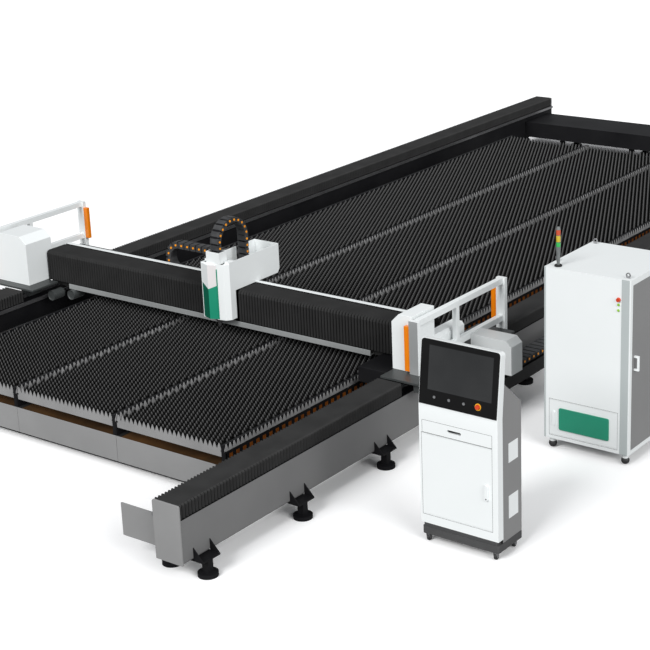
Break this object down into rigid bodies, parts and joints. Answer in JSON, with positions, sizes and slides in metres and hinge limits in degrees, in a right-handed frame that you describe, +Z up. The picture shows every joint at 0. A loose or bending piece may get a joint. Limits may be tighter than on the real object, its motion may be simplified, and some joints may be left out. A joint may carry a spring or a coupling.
{
  "type": "gantry laser cutting machine",
  "caption": "Large-format gantry laser cutter: rails with bellows, slatted bed, bridge with cutting head, guard frames, and a separate console and electrical cabinet.",
  "frame": {"origin": "centre of the machine's footprint on the floor", "axes": "+X across the rails from the bed towards the console and cabinet, +Y along the rails away from the near end, +Z up"},
  "size_m": [7.305, 13.7, 1.987],
  "materials": {
    "rail_paint": "semi-gloss",
    "end_plate_paint": "satin",
    "white_paint": "satin",
    "dark_grey_paint": "satin",
    "green_paint": "satin",
    "orange_strip": "gloss",
    "bellows_cloth": "matte",
    "chain_plastic": "matte",
    "guide_steel": "satin",
    "slat_steel": "satin",
    "screen_plastic": "gloss",
    "red_plastic": "gloss",
    "button_plastic": "gloss",
    "head_metal": "satin",
    "wheel_rubber": "matte",
    "bright_metal": "satin",
    "lamp_plastic": "gloss"
  },
  "bodies": {
    "machine": {"rail_beams": "rail_paint", "rail_end_plates": "end_plate_paint", "rail_brackets": "end_plate_paint", "rail_feet": "end_plate_paint", "rail_guides": "guide_steel", "near_bellows": "bellows_cloth", "far_bellows": "bellows_cloth", "far_crossbeam": "end_plate_paint", "cable_tray": "dark_grey_paint", "rail_chain": "chain_plastic", "bed_frame": "dark_grey_paint", "bed_panels": "end_plate_paint", "slat_combs": "dark_grey_paint", "slats": "slat_steel", "slag_troughs": "dark_grey_paint", "console_front": "white_paint", "console_body": "end_plate_paint", "console_base": "dark_grey_paint", "screen_panel": "screen_plastic", "cabinet_body": "white_paint", "lifting_eyes": "bright_metal", "signal_lamp": "lamp_plastic"},
    "gantry": {"gantry_beam": "bright_metal", "carriage_plates": "end_plate_paint", "end_boxes": "white_paint", "guard_frames": "white_paint", "light_curtains": "orange_strip", "chain_hood": "white_paint", "beam_bellows_left": "bellows_cloth", "beam_bellows_right": "bellows_cloth", "cross_chain": "chain_plastic"},
    "carriage": {"carriage_plate": "bright_metal", "carriage_cover": "white_paint", "front_panel": "green_paint", "height_chain": "chain_plastic"},
    "head": {"cutting_head": "head_metal"},
    "drawer": {"keyboard_drawer": "white_paint"},
    "door": {"console_door": "white_paint"},
    "lock": {"door_lock": "bright_metal"},
    "button_one": {"panel_button_1": "button_plastic"},
    "button_two": {"panel_button_2": "button_plastic"},
    "button_three": {"panel_button_3": "button_plastic"},
    "console_stop": {"console_estop": "red_plastic"},
    "access": {"access_door": "white_paint"},
    "side": {"side_door": "dark_grey_paint"},
    "cabinet_stop": {"cabinet_estop": "red_plastic"},
    "button_start": {"start_button": "button_plastic"},
    "button_halt": {"stop_button": "button_plastic"},
    "fork_front_left": {"caster_fork_front_left": "guide_steel"},
    "wheel_front_left": {"caster_wheel_front_left": "wheel_rubber"},
    "fork_front_right": {"caster_fork_front_right": "guide_steel"},
    "wheel_front_right": {"caster_wheel_front_right": "wheel_rubber"},
    "fork_back_left": {"caster_fork_back_left": "guide_steel"},
    "wheel_back_left": {"caster_wheel_back_left": "wheel_rubber"},
    "fork_back_right": {"caster_fork_back_right": "guide_steel"},
    "wheel_back_right": {"caster_wheel_back_right": "wheel_rubber"},
    "ball_front_left": {"ball_caster_front_left": "wheel_rubber"},
    "ball_back_left": {"ball_caster_back_left": "wheel_rubber"},
    "ball_front_right": {"ball_caster_front_right": "wheel_rubber"},
    "ball_back_right": {"ball_caster_back_right": "wheel_rubber"}
  },
  "joints": [
    {"name": "gantry_slide", "type": "slide", "parent": "machine", "child": "gantry", "axis": [0, 1, 0], "range_m": [-1.73, 7.4], "deforming": ["near_bellows", "far_bellows", "rail_chain"]},
    {"name": "carriage_slide", "type": "slide", "parent": "gantry", "child": "carriage", "axis": [1, 0, 0], "range_m": [-1.7, 1.45], "deforming": ["beam_bellows_left", "beam_bellows_right", "cross_chain"]},
    {"name": "head_slide", "type": "slide", "parent": "carriage", "child": "head", "axis": [0, 0, 1], "range_m": [-0.095, 0.05], "deforming": ["height_chain"]},
    {"name": "drawer_slide", "type": "slide", "parent": "machine", "child": "drawer", "axis": [0, -1, 0], "range_m": [0, 0.24]},
    {"name": "door_hinge", "type": "hinge", "parent": "machine", "child": "door", "pos_m": [2.9225, -5.3055, 0.575], "axis": [0, 0, -1], "range_deg": [0, 110]},
    {"name": "lock_turn", "type": "hinge", "parent": "door", "child": "lock", "pos_m": [3.4945, -5.31, 0.51], "axis": [0, 1, 0], "range_deg": [0, 90]},
    {"name": "access_hinge", "type": "hinge", "parent": "machine", "child": "access", "pos_m": [3.4955, -3.2715, 0.3], "axis": [0, 0, 1], "range_deg": [0, 110]},
    {"name": "side_hinge", "type": "hinge", "parent": "machine", "child": "side", "pos_m": [3.603, -2.483, 0.87], "axis": [0, 0, 1], "range_deg": [0, 110]},
    {"name": "button_one_push", "type": "slide", "parent": "machine", "child": "button_one", "axis": [0, 0.9924, -0.1233], "range_m": [0, 0.003], "stiffness_N_per_m": 600, "springref_m": -0.002},
    {"name": "button_two_push", "type": "slide", "parent": "machine", "child": "button_two", "axis": [0, 0.9924, -0.1233], "range_m": [0, 0.003], "stiffness_N_per_m": 600, "springref_m": -0.002},
    {"name": "button_three_push", "type": "slide", "parent": "machine", "child": "button_three", "axis": [0, 0.9924, -0.1233], "range_m": [0, 0.003], "stiffness_N_per_m": 600, "springref_m": -0.002},
    {"name": "console_stop_push", "type": "slide", "parent": "machine", "child": "console_stop", "axis": [0, 0.9924, -0.1233], "range_m": [0, 0.004]},
    {"name": "cabinet_stop_push", "type": "slide", "parent": "machine", "child": "cabinet_stop", "axis": [0, 1, 0], "range_m": [0, 0.004]},
    {"name": "button_start_push", "type": "slide", "parent": "machine", "child": "button_start", "axis": [0, 1, 0], "range_m": [0, 0.003], "stiffness_N_per_m": 600, "springref_m": -0.002},
    {"name": "button_halt_push", "type": "slide", "parent": "machine", "child": "button_halt", "axis": [0, 1, 0], "range_m": [0, 0.003], "stiffness_N_per_m": 600, "springref_m": -0.002},
    {"name": "swivel_front_left", "type": "hinge", "parent": "machine", "child": "fork_front_left", "pos_m": [2.9425, -5.282, 0.06], "axis": [0, 0, 1], "continuous": true},
    {"name": "roll_front_left", "type": "hinge", "parent": "fork_front_left", "child": "wheel_front_left", "pos_m": [2.9425, -5.27, 0.025], "axis": [1, 0, 0], "continuous": true},
    {"name": "swivel_front_right", "type": "hinge", "parent": "machine", "child": "fork_front_right", "pos_m": [3.5475, -5.282, 0.06], "axis": [0, 0, 1], "continuous": true},
    {"name": "roll_front_right", "type": "hinge", "parent": "fork_front_right", "child": "wheel_front_right", "pos_m": [3.5475, -5.27, 0.025], "axis": [1, 0, 0], "continuous": true},
    {"name": "swivel_back_left", "type": "hinge", "parent": "machine", "child": "fork_back_left", "pos_m": [2.9425, -5.027, 0.06], "axis": [0, 0, 1], "continuous": true},
    {"name": "roll_back_left", "type": "hinge", "parent": "fork_back_left", "child": "wheel_back_left", "pos_m": [2.9425, -5.015, 0.025], "axis": [1, 0, 0], "continuous": true},
    {"name": "swivel_back_right", "type": "hinge", "parent": "machine", "child": "fork_back_right", "pos_m": [3.5475, -5.027, 0.06], "axis": [0, 0, 1], "continuous": true},
    {"name": "roll_back_right", "type": "hinge", "parent": "fork_back_right", "child": "wheel_back_right", "pos_m": [3.5475, -5.015, 0.025], "axis": [1, 0, 0], "continuous": true},
    {"name": "ball_roll_front_left", "type": "hinge", "parent": "machine", "child": "ball_front_left", "pos_m": [2.8525, -3.221, 0.036], "axis": [1, 0, 0], "continuous": true},
    {"name": "ball_roll_back_left", "type": "hinge", "parent": "machine", "child": "ball_back_left", "pos_m": [2.8525, -2.493, 0.036], "axis": [1, 0, 0], "continuous": true},
    {"name": "ball_roll_front_right", "type": "hinge", "parent": "machine", "child": "ball_front_right", "pos_m": [3.5525, -3.221, 0.036], "axis": [1, 0, 0], "continuous": true},
    {"name": "ball_roll_back_right", "type": "hinge", "parent": "machine", "child": "ball_back_right", "pos_m": [3.5525, -2.493, 0.036], "axis": [1, 0, 0], "continuous": true}
  ]
}
